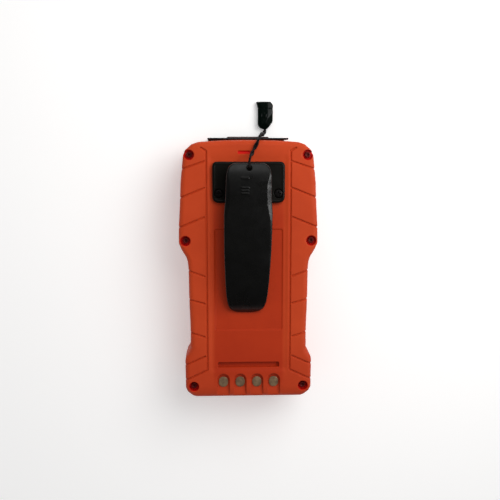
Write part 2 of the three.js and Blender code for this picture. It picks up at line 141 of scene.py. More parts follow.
def tex_material(name, lo, hi, rough=(0.45, 0.6), grain=2500.0, bump_mm=0.01, metal=0.0, blotch=60.0, **more):
    """A moulded or finished surface: a slow colour drift, a fine grain in the roughness, and the same grain as a bump."""
    m, nt, b = material(name, lo, rough[0], metal, **more)
    v = coords(nt)
    slow = noise(nt, v, blotch, 4, 0.6)
    nt.links.new(ramp(nt, slow, [(0.3, lo), (0.7, hi)]), b.inputs["Base Color"])
    fine = noise(nt, v, grain, 2, 0.5)
    mid = noise(nt, v, grain / 12, 4, 0.6)
    g = lambda x: (x, x, x)
    nt.links.new(ramp(nt, mid, [(0.35, g(rough[0])), (0.65, g(rough[1]))]), b.inputs["Roughness"])
    bump(nt, b, fine, 0.5, bump_mm * MM)
    return m


ORANGE = tex_material("orange_moulded", (0.50, 0.049, 0.0105), (0.55, 0.057, 0.0125), (0.50, 0.62), 1800, 0.03, Specular_IOR_Level=0.16)
# the centre panel of the back is painted a shade deeper than the side pads: painted shade of the clip lever and its
# plate that stand over it
_nt = ORANGE.node_tree
_b = _nt.nodes["Principled BSDF"]
_src = _b.inputs["Base Color"].links[0].from_socket
_tc = _nt.nodes.new("ShaderNodeTexCoord")
_sep = _nt.nodes.new("ShaderNodeSeparateXYZ")
_nt.links.new(_tc.outputs["Object"], _sep.inputs["Vector"])


def _edge(sock, lo, hi, absolute=False):
    if absolute:
        a = _nt.nodes.new("ShaderNodeMath")
        a.operation = "ABSOLUTE"
        _nt.links.new(sock, a.inputs[0])
        sock = a.outputs[0]
    r = _nt.nodes.new("ShaderNodeMapRange")
    r.interpolation_type = "SMOOTHSTEP"
    r.inputs["From Min"].default_value, r.inputs["From Max"].default_value = lo, hi
    _nt.links.new(sock, r.inputs["Value"])
    return r.outputs["Result"]


def _times(a, b):
    m = _nt.nodes.new("ShaderNodeMath")
    m.operation = "MULTIPLY"
    _nt.links.new(a, m.inputs[0])
    _nt.links.new(b, m.inputs[1])
    return m.outputs[0]


# painted shade: where the centre panel under the clip lever is painted darker
_lever_shade_mask = _times(_times(_edge(_sep.outputs["X"], 0.0186, 0.0166, True), _edge(_sep.outputs["Z"], 0.029, 0.031)),
               _times(_edge(_sep.outputs["Y"], 0.050, 0.020), _edge(_sep.outputs["Y"], -0.064, -0.050)))
_lever_shade_mix = _nt.nodes.new("ShaderNodeMix")
_lever_shade_mix.data_type = "RGBA"
_lever_shade_mix.blend_type = "MULTIPLY"
_nt.links.new(_lever_shade_mask, _lever_shade_mix.inputs["Factor"])
_nt.links.new(_src, _lever_shade_mix.inputs["A"])
_lever_shade_mix.inputs["B"].default_value = (0.85, 0.62, 0.47, 1)
# the lower end is painted a touch deeper: painted shade, for the lesser light that reaches the bottom end
_low_end_shade = _nt.nodes.new("ShaderNodeMix")
_low_end_shade.data_type = "RGBA"
_low_end_shade.blend_type = "MULTIPLY"
_nt.links.new(_edge(_sep.outputs["Y"], -0.030, -0.058), _low_end_shade.inputs["Factor"])
_nt.links.new(_lever_shade_mix.outputs["Result"], _low_end_shade.inputs["A"])
_low_end_shade.inputs["B"].default_value = (0.94, 0.86, 0.88, 1)
# the six screw wells: painted bounce light and shade, their sides painted the saturated red that light bouncing round
# the deep orange walls gives
_abs = _nt.nodes.new("ShaderNodeVectorMath")
_abs.operation = "ABSOLUTE"
_nt.links.new(_tc.outputs["Object"], _abs.inputs[0])
_plane = _nt.nodes.new("ShaderNodeSeparateXYZ")
_nt.links.new(_abs.outputs["Vector"], _plane.inputs["Vector"])
_flat = _nt.nodes.new("ShaderNodeCombineXYZ")
_nt.links.new(_plane.outputs["X"], _flat.inputs["X"])
_nt.links.new(_sep.outputs["Y"], _flat.inputs["Y"])
_bounce_shade_mask = None
for _wx, _wy in ((0.0295, 0.0577), (0.0316, 0.0149), (0.0280, -0.0603)):
    _dist = _nt.nodes.new("ShaderNodeVectorMath")
    _dist.operation = "DISTANCE"
    _nt.links.new(_flat.outputs["Vector"], _dist.inputs[0])
    _dist.inputs[1].default_value = (_wx, _wy + SH * MM, 0.0)
    _near = _edge(_dist.outputs["Value"], 0.00285, 0.0024)
    if _bounce_shade_mask is None:
        _bounce_shade_mask = _near
    else:
        _sum = _nt.nodes.new("ShaderNodeMath")
        _sum.operation = "ADD"
        _nt.links.new(_bounce_shade_mask, _sum.inputs[0])
        _nt.links.new(_near, _sum.inputs[1])
        _bounce_shade_mask = _sum.outputs[0]
# the short mark near the top is painted the same red: painted shade in its shallow recess
_mark_shade_mask = _times(_edge(_sep.outputs["X"], -0.0056, -0.0050), _edge(_sep.outputs["X"], 0.0016, 0.0010))
_mark_shade_mask = _times(_mark_shade_mask, _times(_edge(_sep.outputs["Y"], 0.0580 + SH * MM, 0.0584 + SH * MM), _edge(_sep.outputs["Y"], 0.0599 + SH * MM, 0.0595 + SH * MM)))
_sum = _nt.nodes.new("ShaderNodeMath")
_sum.operation = "ADD"
_nt.links.new(_bounce_shade_mask, _sum.inputs[0])
_nt.links.new(_mark_shade_mask, _sum.inputs[1])
_bounce_shade_mask = _times(_sum.outputs[0], _edge(_sep.outputs["Z"], 0.0285, 0.0300))
_red_bounce_shade_mix = _nt.nodes.new("ShaderNodeMix")
_red_bounce_shade_mix.data_type = "RGBA"
_nt.links.new(_bounce_shade_mask, _red_bounce_shade_mix.inputs["Factor"])
_nt.links.new(_low_end_shade.outputs["Result"], _red_bounce_shade_mix.inputs["A"])
_red_bounce_shade_mix.inputs["B"].default_value = (0.62, 0.008, 0.006, 1)
_nt.links.new(_red_bounce_shade_mix.outputs["Result"], _b.inputs["Base Color"])
BLACK = tex_material("black_nylon", (0.0045, 0.0042, 0.0032), (0.0068, 0.0062, 0.0048), (0.34, 0.46), 2200, 0.02, Specular_IOR_Level=0.24)
LEVERMAT = tex_material("black_moulded", (0.0046, 0.0046, 0.0044), (0.0064, 0.0064, 0.0061), (0.24, 0.34), 2000, 0.012, Specular_IOR_Level=0.5)
CONNECTOR = tex_material("connector_black", (0.0012, 0.0034, 0.0024), (0.0022, 0.0056, 0.0040), (0.20, 0.28), 2000, 0.004, Specular_IOR_Level=0.16)
SCREW = tex_material("screw_black", (0.008, 0.007, 0.007), (0.014, 0.012, 0.012), (0.3, 0.45), 2600, 0.01, 0.6)
# the screws down in the wells are painted red: a painted reflection of the red well sides on black screws
WELL_SCREW_RED_REFLECTION = tex_material("screw_painted_red_reflection", (0.10, 0.006, 0.005), (0.16, 0.010, 0.008), (0.3, 0.45), 2600, 0.01, 0.3)
GLOSS = tex_material("black_gloss", (0.006, 0.006, 0.007), (0.012, 0.012, 0.013), (0.12, 0.22), 1200, 0.006)
RUBBER = tex_material("black_rubber", (0.012, 0.012, 0.012), (0.022, 0.022, 0.022), (0.7, 0.85), 2600, 0.03)
LENS = tex_material("smoked_lens", (0.030, 0.006, 0.005), (0.040, 0.008, 0.006), (0.05, 0.10), 400, 0.004)
LCD = tex_material("lcd_glass", (0.16, 0.20, 0.14), (0.18, 0.22, 0.15), (0.2, 0.3), 900, 0.004)
WHITE = tex_material("white_moulded", (0.72, 0.72, 0.69), (0.80, 0.80, 0.77), (0.45, 0.6), 1500, 0.02)
BOARD = tex_material("solder_mask", (0.010, 0.085, 0.030), (0.018, 0.12, 0.045), (0.3, 0.45), 900, 0.02)
STEEL = tex_material("zinc_steel", (0.42, 0.43, 0.45), (0.56, 0.57, 0.58), (0.28, 0.42), 2600, 0.01, 1.0)
NICKEL = tex_material("dull_nickel", (0.20, 0.125, 0.075), (0.40, 0.275, 0.155), (0.30, 0.50), 2400, 0.01, 0.45, 420)
WRAP = tex_material("cell_wrap", (0.03, 0.05, 0.20), (0.04, 0.07, 0.26), (0.25, 0.35), 1200, 0.01)
RED = tex_material("red_plastic", (0.35, 0.015, 0.012), (0.42, 0.02, 0.015), (0.25, 0.4), 1500, 0.01)
CORD = tex_material("cord_nylon", (0.0030, 0.0012, 0.0012), (0.0060, 0.0022, 0.0022), (0.55, 0.75), 3000, 0.04, Specular_IOR_Level=0.25)
GLASS, _, gb = material("window_glass", (0.9, 0.92, 0.92), 0.04, 0.0)
gb.inputs["Transmission Weight"].default_value = 1.0
gb.inputs["IOR"].default_value = 1.49

SLOT_MAT = {"orange_shell": ORANGE, "black_plastic": BLACK, "black_gloss": GLOSS, "rubber_black": RUBBER, "smoked_lens": LENS,
            "window": GLASS, "lcd": LCD, "white_plastic": WHITE, "board": BOARD, "steel": STEEL, "screw_black": SCREW, "nickel": NICKEL,
            "cell_wrap": WRAP, "red_plastic": RED, "cord": CORD}
for row in frame["record"]["subparts"]:
    o = frame["nodes"][row["node"]]
    o.data.materials.clear()
    o.data.materials.append(SLOT_MAT[row["material_slot"]])


# ------------------------------------------------------------------ distance-field modelling, in millimetres
class Field:
    """A grid of distances over a box, in the CAD source's millimetres."""
    def __init__(self, lo, hi, h):
        self.h = h
        self.lo = np.array(lo, float) - 2 * h
        n = [int(math.ceil((b - a) / h)) + 5 for a, b in zip(lo, hi)]
        ax = [self.lo[i] + h * np.arange(n[i]) for i in range(3)]
        self.x = ax[0].astype(np.float32)[:, None, None]
        self.y = ax[1].astype(np.float32)[None, :, None]
        self.z = ax[2].astype(np.float32)[None, None, :]

    def mesh(self, name, d, mat, body, nodes, slot=None, adaptivity=0.0, field_normals=False):
        h = self.h
        g = vdb.FloatGrid(3.0)
        g.copyFromArray(np.ascontiguousarray(np.clip(d / h, -3, 3), dtype=np.float32))
        g.transform = vdb.createLinearTransform(voxelSize=1.0)
        pts, tris, quads = g.convertToPolygons(isovalue=0.0, adaptivity=adaptivity)
        normals = self.gradient(np.broadcast_to(d, g_shape(self)), pts) if field_normals else None
        pts = (pts * h + self.lo + np.array([0, SH, 0])) * MM
        return poly_object(name, pts, tris, quads, mat, body, nodes, normals=normals)

    def gradient(self, d, pts):
        """The field's own direction at each vertex, for smooth shading of its curved faces."""
        n = np.array(d.shape)
        out = np.zeros((len(pts), 3))
        for k in range(3):
            for s in (1, -1):
                q = pts.copy()
                q[:, k] += 0.9 * s
                q = np.clip(q, 0, n - 1.001)
                i = np.floor(q).astype(int)
                t = q - i
                v = 0
                for a in (0, 1):
                    for b in (0, 1):
                        for c in (0, 1):
                            w = (t[:, 0] if a else 1 - t[:, 0]) * (t[:, 1] if b else 1 - t[:, 1]) * (t[:, 2] if c else 1 - t[:, 2])
                            v = v + w * d[i[:, 0] + a, i[:, 1] + b, i[:, 2] + c]
                out[:, k] += s * v
        return out / np.maximum(np.linalg.norm(out, axis=1, keepdims=True), 1e-12)


def g_shape(f):
    return (f.x.shape[0], f.y.shape[1], f.z.shape[2])


def poly_object(name, pts, tris, quads, mat, body, nodes, smooth=True, normals=None):
    me = bpy.data.meshes.new(name)
    tris, quads = np.asarray(tris, np.int32).reshape(-1, 3), np.asarray(quads, np.int32).reshape(-1, 4)
    loops = np.concatenate([quads.ravel(), tris.ravel()])
    starts = np.concatenate([np.arange(len(quads)) * 4, len(quads) * 4 + np.arange(len(tris)) * 3])
    me.vertices.add(len(pts))
    me.vertices.foreach_set("co", np.asarray(pts, np.float32).ravel())
    me.loops.add(len(loops))
    me.loops.foreach_set("vertex_index", loops.astype(np.int32))
    me.polygons.add(len(starts))
    me.polygons.foreach_set("loop_start", starts.astype(np.int32))
    me.update(calc_edges=True)
    me.validate()
    # outward faces: the signed volume has to be positive
    co = np.zeros(len(me.vertices) * 3, np.float32)
    me.vertices.foreach_get("co", co)
    co = co.reshape(-1, 3).astype(float)
    a, b, c = (co[q] for q in (np.vstack([tris, quads[:, :3], quads[:, [0, 2, 3]]]).T))
    if np.einsum("ij,ij->i", a, np.cross(b, c)).sum() < 0:
        me.flip_normals()
    if smooth:
        me.polygons.foreach_set("use_smooth", np.ones(len(me.polygons), bool))
        # vertex normals weighted by face area, so that flat faces stay flat up to their rounded edges
        n = len(me.polygons)
        fn, fa = np.zeros(n * 3, np.float32), np.zeros(n, np.float32)
        me.polygons.foreach_get("normal", fn)
        me.polygons.foreach_get("area", fa)
        lv, lt = np.zeros(len(me.loops), np.int32), np.zeros(n, np.int32)
        me.loops.foreach_get("vertex_index", lv)
        me.polygons.foreach_get("loop_total", lt)
        w = np.repeat(fn.reshape(-1, 3) * fa[:, None], lt, axis=0)
        vn = np.zeros((len(me.vertices), 3))
        for k in range(3):
            vn[:, k] = np.bincount(lv, w[:, k], len(me.vertices))
        vn /= np.maximum(np.linalg.norm(vn, axis=1, keepdims=True), 1e-20)
        me.normals_split_custom_set_from_vertices((vn if normals is None or len(normals) != len(vn) else normals).tolist())
    me.materials.append(mat)
    o = bpy.data.objects.new(name, me)
    bpy.context.scene.collection.objects.link(o)
    if body:
        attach(o, body)
    if nodes:
        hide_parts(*nodes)
    return o


def poly2(x, y, pts):
    """Signed distance to a closed polygon, negative inside."""
    pts = np.asarray(pts, np.float32)
    x, y = np.broadcast_arrays(x, y)
    best = np.full(x.shape, 1e12, np.float32)
    inside = np.zeros(x.shape, bool)
    for (ax, ay), (bx, by) in zip(pts, np.roll(pts, -1, 0)):
        ex, ey = bx - ax, by - ay
        wx, wy = x - ax, y - ay
        t = np.clip((wx * ex + wy * ey) / max(ex * ex + ey * ey, 1e-12), 0, 1)
        best = np.minimum(best, (wx - ex * t) ** 2 + (wy - ey * t) ** 2)
        if ey != 0:
            inside ^= ((ay <= y) != (by <= y)) & (x < ax + (y - ay) / ey * ex)
    d = np.sqrt(best)
    return np.where(inside, -d, d).astype(np.float32)


def seg2(x, y, ax, ay, bx, by):
    ex, ey = bx - ax, by - ay
    t = np.clip(((x - ax) * ex + (y - ay) * ey) / (ex * ex + ey * ey), 0, 1)
    return np.hypot(x - ax - ex * t, y - ay - ey * t)


def box2(x, y, x0, x1, y0, y1, r=0.0):
    qx, qy = np.abs(x - (x0 + x1) / 2) - (x1 - x0) / 2 + r, np.abs(y - (y0 + y1) / 2) - (y1 - y0) / 2 + r
    return np.hypot(np.maximum(qx, 0), np.maximum(qy, 0)) + np.minimum(np.maximum(qx, qy), 0) - r


def round_max(a, b, r):
    """The intersection of two shapes, with its edge rounded to r."""
    if r <= 0:
        return np.maximum(a, b)
    return np.minimum(np.maximum(a, b), -r) + np.hypot(np.maximum(a + r, 0), np.maximum(b + r, 0))


def round_min(a, b, r):
    return -round_max(-a, -b, r)


def cut(d, tool, r=0.2):
    return round_max(d, -tool, r)


def fillet(pts, radii, n=6):
    """A closed polygon with its corners rounded."""
    pts = [np.array(p, float) for p in pts]
    out = []
    k = len(pts)
    for i, p in enumerate(pts):
        r = radii if np.isscalar(radii) else radii[i]
        a, b = pts[i - 1] - p, pts[(i + 1) % k] - p
        la, lb = np.linalg.norm(a), np.linalg.norm(b)
        a, b = a / la, b / lb
        ang = math.acos(max(-1, min(1, float(a @ b))))
        if r <= 0 or ang > math.pi - 0.01:
            out.append(p)
            continue
        t = min(r / math.tan(ang / 2), 0.48 * la, 0.48 * lb)
        p0, p1 = p + a * t, p + b * t
        for j in range(n + 1):
            s = j / n
            out.append((1 - s) ** 2 * p0 + 2 * s * (1 - s) * p + s * s * p1)
    return np.array(out)



def smooth_curve(pts, width=2.0, lo=-90, hi=90):
    """A smooth function through a list of (position, value) corners."""
    p = np.array(sorted(pts), float)
    t = np.arange(lo, hi, 0.05)
    v = np.interp(t, p[:, 0], p[:, 1])
    # beyond its ends the curve goes on straight
    a = (p[1, 1] - p[0, 1]) / (p[1, 0] - p[0, 0])
    b = (p[-1, 1] - p[-2, 1]) / (p[-1, 0] - p[-2, 0])
    v = np.where(t < p[0, 0], p[0, 1] + a * (t - p[0, 0]), v)
    v = np.where(t > p[-1, 0], p[-1, 1] + b * (t - p[-1, 0]), v)
    k = int(width / 0.05) | 1
    w = np.hanning(k + 2)[1:-1]
    v = np.convolve(np.pad(v, k // 2, "edge"), w / w.sum(), "valid")
    return lambda q: np.interp(q, t, v).astype(np.float32)


def step(x, a, b):
    t = np.clip((x - a) / (b - a), 0, 1)
    return t * t * (3 - 2 * t)


def cyl_y(f, x, z, r):
    return np.hypot(f.x - x, f.z - z) - r


HALF = [
    [5, 65.0], [13, 64.8], [20, 64.4], [25.0, 64.0], [28.2, 62.9], [31.5, 59.9], [32.4, 57.7], [32.7, 55.2], [33.1, 51], [33.8, 44], [34.3, 32],
    [34.9, 22], [35.0, 13.6], [33.7, 10.5], [32.4, 8.3], [31.2, 6.3], [30.6, 4.2], [30.3, 1.5], [30.15, -4], [30.1, -12], [29.9, -20],
    [29.6, -27], [29.5, -34], [29.55, -40.2], [30.3, -42.2], [31.2, -43.8], [32.2, -45.4], [32.4, -47.5], [32.3, -54], [32.25, -61.2], [31.3, -63.5],
    [28.9, -65.9], [27.2, -66.8]]
OUTLINE = fillet([p for p in reversed(HALF)] + [[-x, y] for x, y in HALF], 2.5, 5)
# the front shell widens again 2 mm further down than the rear one
FRONT_OUTLINE = fillet([[x, y - 2.0 if -50 < y < -39 else y] for x, y in [p for p in reversed(HALF)] + [[-x, y] for x, y in HALF]], 2.5, 5)
WELLS = [(s * x, y) for x, y in ((29.5, 57.7), (31.6, 14.9), (28.0, -60.3)) for s in (1, -1)]
DIAG = [(21.2, 54.7, 33.3, 50.6), (21.5, 41.5, 34.0, 36.5), (22.1, 26.8, 34.8, 21.6), (22.1, -3.1, 31.2, 0.2),
        (22.2, -17.0, 30.9, -14.7), (22.3, -34.2, 30.6, -31.7), (22.1, -44.4, 32.3, -49.0), (21.0, -51.6, 32.4, -57.0)]
CONTACT_X, CONTACT_Y, NOTCH_R, NOTCH_Y = (-12.9, -4.3, 4.3, 12.9), -58.2, 3.1, -56.9
PIN_Y, PIN_Z, PIN_R = 42.0, 40.2, 1.25


def res(full):
    return full


def grooves(f):
    """The moulded grooves seen from the back: two long ones, and the short slanting ones that run over the sides."""
    ax, y = np.abs(f.x[:, :, 0]), f.y[:, :, 0]
    g = np.minimum(seg2(ax, y, 21.0, 59.6, 21.0, -51.4), seg2(ax, y, 21.0, 59.6, 23.6, 61.2))
    side = np.full(np.broadcast(ax, y).shape, 99.0, np.float32)
    for a, b, c, e in DIAG:
        l = math.hypot(c - a, e - b)
        side = np.minimum(side, seg2(ax, y, a, b, c + (c - a) / l * 3, e + (e - b) / l * 3))
    return np.minimum(g, side)[:, :, None] - 0.35, side[:, :, None] - 0.35


def waist(f):
    """How far the side walls stand out round the waist, growing towards the front."""
    return 0.3 * (1 - step(f.y, 4.0, 10.0)) * step(f.y, -40.5, -34.0) * (1 - step(f.z, 15.0, 30.5))


def groove_depth(f):
    """Deep on the back, faint on the side walls."""
    return 0.12 + 0.68 * step(f.z, 30.3, 33.0)


def rear_housing():
    f = Field((-35.1, -66.9, 17.2), (35.1, 65.1, 34.1), res(0.26))
    x, y, z = f.x, f.y, f.z
    o2 = poly2(x[:, :, 0], y[:, :, 0], OUTLINE)[:, :, None]
    # the back: flat pads, a centre panel that sinks 0.4 mm with soft edges, and a bottom end that rolls down
    ax = np.abs(x)
    panel = (1 - step(ax, 18.3, 20.2)) * (1 - step(y, 54.8, 59.0)) * step(y, -53.0, -50.6)
    roll = np.maximum(-59.6 - y, 0)
    top = 34.0 - 0.4 * panel - 0.045 * roll ** 2
    slope = 0.09 * roll
    body = round_max(o2 - waist(f), (z - top) / np.sqrt(1 + slope ** 2), 2.6)
    d = round_max(body, 17.3 - z, 0.25)
    g, _ = grooves(f)
    d = cut(d, np.maximum(g, -(body + groove_depth(f))), 0.3)
    d = cut(d, np.maximum(box2(x, y, -17.1, 17.1, -30.8, 20.7, 0.8), 33.2 - z), 0.2)
    d = cut(d, np.maximum(box2(x, y, -15.6, 15.6, -50.35, -47.7, 0.5), 31.2 - z), 0.2)
    d = cut(d, np.maximum(box2(x, y, -5.2, 1.2, 58.3, 59.6, 0.5), 33.4 - z), 0.2)
    hollow = round_max(o2 + 2.4, z - 30.8, 2.4)
    for wx, wy in WELLS:
        hollow = np.maximum(hollow, 4.0 - np.hypot(x - wx, y - wy))
    hollow = np.maximum(hollow, -np.maximum(box2(x, y, -19, 19, -65.2, -46.2), 28.4 - z))
    for s in (1, -1):
        hollow = np.maximum(hollow, -np.maximum(np.hypot(x - s * 14.8, y - 38.7) - 3.0, 28.0 - z))
    d = cut(d, hollow, 0.0)
    for wx, wy in WELLS:
        r = np.hypot(x - wx, y - wy)
        d = cut(d, np.maximum(r - 2.5, 30.2 - z), 0.35)
        d = cut(d, r - 1.2, 0.0)
    for cx in CONTACT_X:
        u = np.minimum(np.hypot(x - cx, y - NOTCH_Y) - NOTCH_R, box2(x, y, cx - NOTCH_R, cx + NOTCH_R, -72, NOTCH_Y))
        d = cut(d, np.maximum(u, top - 1.9 * step(y, -67.4, -59.9) - z), 0.25)
        d = cut(d, np.hypot(x - cx, y - CONTACT_Y) - 1.5, 0.0)
    for s in (1, -1):
        d = cut(d, np.hypot(x - s * 14.8, y - 38.7) - 1.2, 0.0)
    return f.mesh("rear_shell", d, ORANGE, "case", ["rear_housing"], "orange_shell", 0.012, True)


SENSORS = [(sx * 10.9, sy) for sy in (-17.5, -39.5) for sx in (-1, 1)]
KEYS = (("left", -13.0), ("power", 0.0), ("right", 13.0))


def front_housing():
    f = Field((-35.1, -66.9, -0.1), (35.1, 65.1, 17.1), res(0.34))
    x, y, z = f.x, f.y, f.z
    o2 = poly2(x[:, :, 0], y[:, :, 0], FRONT_OUTLINE)[:, :, None]
    body = round_max(o2 - waist(f), -z, 2.6)
    d = round_max(body, z - 17.0, 0.25)
    _, g = grooves(f)
    d = cut(d, np.maximum(g, -(body + groove_depth(f))), 0.3)
    d = cut(d, np.maximum(o2 + 4.6, z - 0.7), 0.5)
    d = cut(d, np.maximum(box2(x, y, -24.3, 24.3, 0.7, 60.3, 2.5), z - 2.4), 0.2)
    d = cut(d, np.maximum(box2(x, y, -21.1, 21.1, 58, 70), z - 2.4), 0.2)
    d = cut(d, np.maximum(box2(x, y, -17.5, 17.5, 23, 49, 0.6), z - 5), 0.15)
    d = cut(d, np.maximum(box2(x, y, -23.3, 23.3, -52.3, -5.7, 3.0), z - 2.4), 0.2)
    hollow = np.maximum(o2 + 2.4, 4.0 - z)
    for wx, wy in WELLS:
        hollow = np.maximum(hollow, 4.0 - np.hypot(x - wx, y - wy))
    d = cut(d, hollow, 0.0)
    d = cut(d, np.maximum(np.maximum(np.abs(x) - 9.5, 60 - y), np.abs(z - 10.25) - 5.25), 0.1)
    chamber = box2(x, y, -22, 22, -51, -7, 0.6)
    boss = np.hypot(np.abs(x) - 20.6, y + 28.5)
    d = cut(d, np.maximum(np.maximum(chamber, 3.2 - boss), z - 5), 0.1)
    d = np.minimum(d, np.maximum(np.maximum(boss - 3.2, 2.4 - z), z - 9))
    d = cut(d, np.maximum(boss - 1.15, z - 8.4), 0.0)
    for _, kx in KEYS:
        d = cut(d, np.maximum(np.hypot(x - kx, y - 11.0) - 4.5, z - 5), 0.15)
    for wx, wy in WELLS:
        d = cut(d, np.maximum(np.hypot(x - wx, y - wy) - 1.15, 7 - z), 0.0)
    return f.mesh("front_shell", d, ORANGE, "case", ["front_housing"], "orange_shell", 0.012, True)


def fascia():
    f = Field((-24, 0.9, 0.9), (24, 66.5, 27.1), res(0.22))
    x, y, z = f.x, f.y, f.z
    leg = round_max(round_max(np.abs(x) - 20.4, np.abs(y - 65.675) - 0.475, 0.3), np.maximum(z - 27.0, 0.9 - z), 0.3)
    bend = round_max(np.maximum(np.abs(x) - 20.4, 56 - y), y - 66.15, 0.3)
    flat = round_max(np.minimum(box2(x, y, -24, 24, 1, 60, 2.2), bend), np.abs(z - 1.65) - 0.75, 0.3)
    d = np.minimum(flat, leg)
    d = cut(d, box2(x, y, -19.8, 19.8, 20.7, 51.3, 0.9), 0.15)
    d = cut(d, np.maximum(np.maximum(np.abs(x) - 11, 64 - y), np.abs(z - 14) - 10.8), 0.15)
    for _, kx in KEYS:
        d = cut(d, np.hypot(x - kx, y - 11.0) - 4.5, 0.25)
    # a shallow frame line round the keys
    ring = np.abs(box2(x, y, -21.0, 21.0, 3.2, 18.2, 3.0)) - 0.25
    d = cut(d, np.maximum(ring, z - 1.1), 0.1)
    return f.mesh("front_fascia", d, GLOSS, "case", ["fascia"], "black_plastic", 0.003)


def alarm_lens():
    f = Field((-10.7, 64.7, 3.4), (10.7, 67.0, 24.6), res(0.16))
    x, y, z = f.x, f.y, f.z
    o = box2(x, z, -10.7, 10.7, 3.5, 24.5, 1.4)
    d = round_max(round_max(o, y - 66.8, 0.7), 65.3 - y, 0.15)
    # light-spreading flutes inside
    d = cut(d, np.maximum(np.maximum(np.abs(((z - 14) % 1.6) - 0.8) - 0.35, np.abs(x) - 9.4), np.maximum(y - 65.7, np.abs(z - 14) - 9.2)), 0.1)
    return f.mesh("lens_bar", d, LENS, "case", ["alarm_lens"], "smoked_lens", 0.003)


def plate_piece(name, lo, hi, r, mat, body, nodes, slot, h=0.2, edge=0.3, extra=None, adaptivity=0.004):
    """A flat moulded part between two corners, with rounded corners and edges."""
    f = Field(lo, hi, res(h))
    o = box2(f.x, f.y, lo[0], hi[0], lo[1], hi[1], r)
    d = round_max(o, np.abs(f.z - (lo[2] + hi[2]) / 2) - (hi[2] - lo[2]) / 2, edge)
    if extra:
        d = extra(f, d)
    return f.mesh(name, d, mat, body, nodes, slot, adaptivity)


def keys():
    for name, kx in KEYS:
        f = Field((kx - 5.2, 11 - 5.2, 0.4), (kx + 5.2, 11 + 5.2, 5.6), res(0.13))
        r = np.hypot(f.x - kx, f.y - 11.0)
        # a domed cap with a finger dish, a flange and a plunger
        cap = round_max(r - 4.2, np.maximum((0.4 + 0.03 * r ** 2 * (r > 2.4) + 0.02 * np.maximum(2.4 - r, 0)) - f.z, f.z - 4.4), 0.5)
        d = np.minimum(cap, round_max(r - 5.2, np.abs(f.z - 4.5) - 0.4, 0.15))
        d = np.minimum(d, round_max(r - 1.5, np.abs(f.z - 5.1) - 0.5, 0.15))
        mark = (np.abs(r - 2.0) - 0.18) if name == "power" else (np.maximum(np.abs(f.x - kx) - 1.5, np.abs(f.y - 11.0) - 0.2))
        d = cut(d, np.maximum(mark, f.z - 0.75), 0.08)
        f.mesh("keycap_" + name, d, RED if name == "power" else RUBBER, "key_" + name, ["key_" + name],
               "red_plastic" if name == "power" else "rubber_black", 0.003)


def sensor_cover():
    def grille(f, d):
        x, y, z = f.x, f.y, f.z
        for sx, sy in SENSORS:
            r = np.hypot(x - sx, y - sy)
            d = cut(d, np.maximum(r - 7.0, z - 1.25), 0.25)
            hole = np.maximum(r - 5.5, -(np.abs(r - 2.9) - 0.45))
            hole = np.maximum(hole, -(np.abs(x - sx) - 0.45))
            hole = np.maximum(hole, -(np.abs(y - sy) - 0.45))
            hole = np.maximum(hole, 1.1 - r)
            d = cut(d, hole, 0.12)
        for s in (1, -1):
            r = np.hypot(x - s * 20.6, y + 28.5)
            d = cut(d, np.maximum(r - 2.15, z - 1.8), 0.15)
            d = cut(d, r - 1.25, 0.0)
        # ribs that shed water round the openings
        for yy in (-28.5 - 1.6, -28.5, -28.5 + 1.6):
            d = cut(d, np.maximum(box2(x, y, -16.5, 16.5, yy - 0.35, yy + 0.35, 0.3), z - 1.3), 0.12)
        return d
    plate_piece("sensor_grille", (-23, -52, 0.9), (23, -6, 2.4), 2.7, BLACK, "case", ["sensor_cover"], "black_plastic",
                0.2, 0.4, grille, 0.003)


def screw(name, node, x0, y0, z_head, z_top, z_tip, r_head, r_shaft, dome, down=False, drive="cross", mat=None):
    """A machine screw with a cross or hexagon drive and a threaded shaft, standing along Z."""
    mat = mat or SCREW
    h = res(0.09)
    f = Field((x0 - r_head, y0 - r_head, min(z_tip, z_top)), (x0 + r_head, y0 + r_head, max(z_tip, z_top)), h)
    x, y, z = f.x - x0, f.y - y0, f.z
    s = -1 if down else 1                     # down: the head faces -Z
    r = np.hypot(x, y)
    head = round_max(r - r_head, np.maximum(s * (z - z_top) + dome * r ** 2, s * (z_head - z)), 0.2)
    ang = np.arctan2(y, x) / (2 * math.pi)
    pitch = 0.6
    tri = np.abs(((z / pitch - ang) % 1.0) - 0.5) * 2
    shaft = (r - r_shaft + 0.16 * tri) * 0.8
    shaft = round_max(shaft, np.maximum(s * (z - z_head) - 0.1, s * (z_tip - z)), 0.15)
    d = np.minimum(head, shaft)
    if drive == "cross":
        w = 0.28
        slot_ = np.minimum(np.maximum(np.abs(x) - w, np.abs(y) - 0.62 * r_head), np.maximum(np.abs(y) - w, np.abs(x) - 0.62 * r_head))
        slot_ = np.minimum(slot_, r - 0.5)
        d = cut(d, np.maximum(slot_, s * (z_top - z) - 0.8), 0.06)
    else:
        hexa = np.maximum.reduce([np.abs(x * math.cos(a) + y * math.sin(a)) for a in (0, math.pi / 3, 2 * math.pi / 3)]) - 0.7
        d = cut(d, np.maximum(hexa, s * (z_top - z) - 1.0), 0.06)
    return f.mesh(name, d, mat, "case", [node], "screw_black" if mat in (SCREW, WELL_SCREW_RED_REFLECTION) else "steel", 0.004)


def contacts():
    for i, cx in enumerate(CONTACT_X, 1):
        f = Field((cx - 2.4, CONTACT_Y - 2.7, 27.4), (cx + 2.4, CONTACT_Y + 2.7, 32.9), res(0.1))
        x, y, z = f.x - cx, f.y - CONTACT_Y, f.z
        o = box2(x, y, -2.4, 2.4, -2.7, 2.7, 2.35)
        head = round_max(o, np.maximum(z - 32.9 + 0.035 * (x ** 2 + y ** 2), 32.1 - z), 0.22)
        head = cut(head, np.maximum(np.abs(np.hypot(x, y) - 1.35) - 0.12, 32.75 - z), 0.06)
        stem = round_max(np.hypot(x, y) - 1.2, np.maximum(z - 32.2, 27.4 - z), 0.15)
        f.mesh("contact_pad_%d" % i, np.minimum(head, stem), NICKEL, "case", ["charge_contact_%d" % i], "nickel", 0.003)


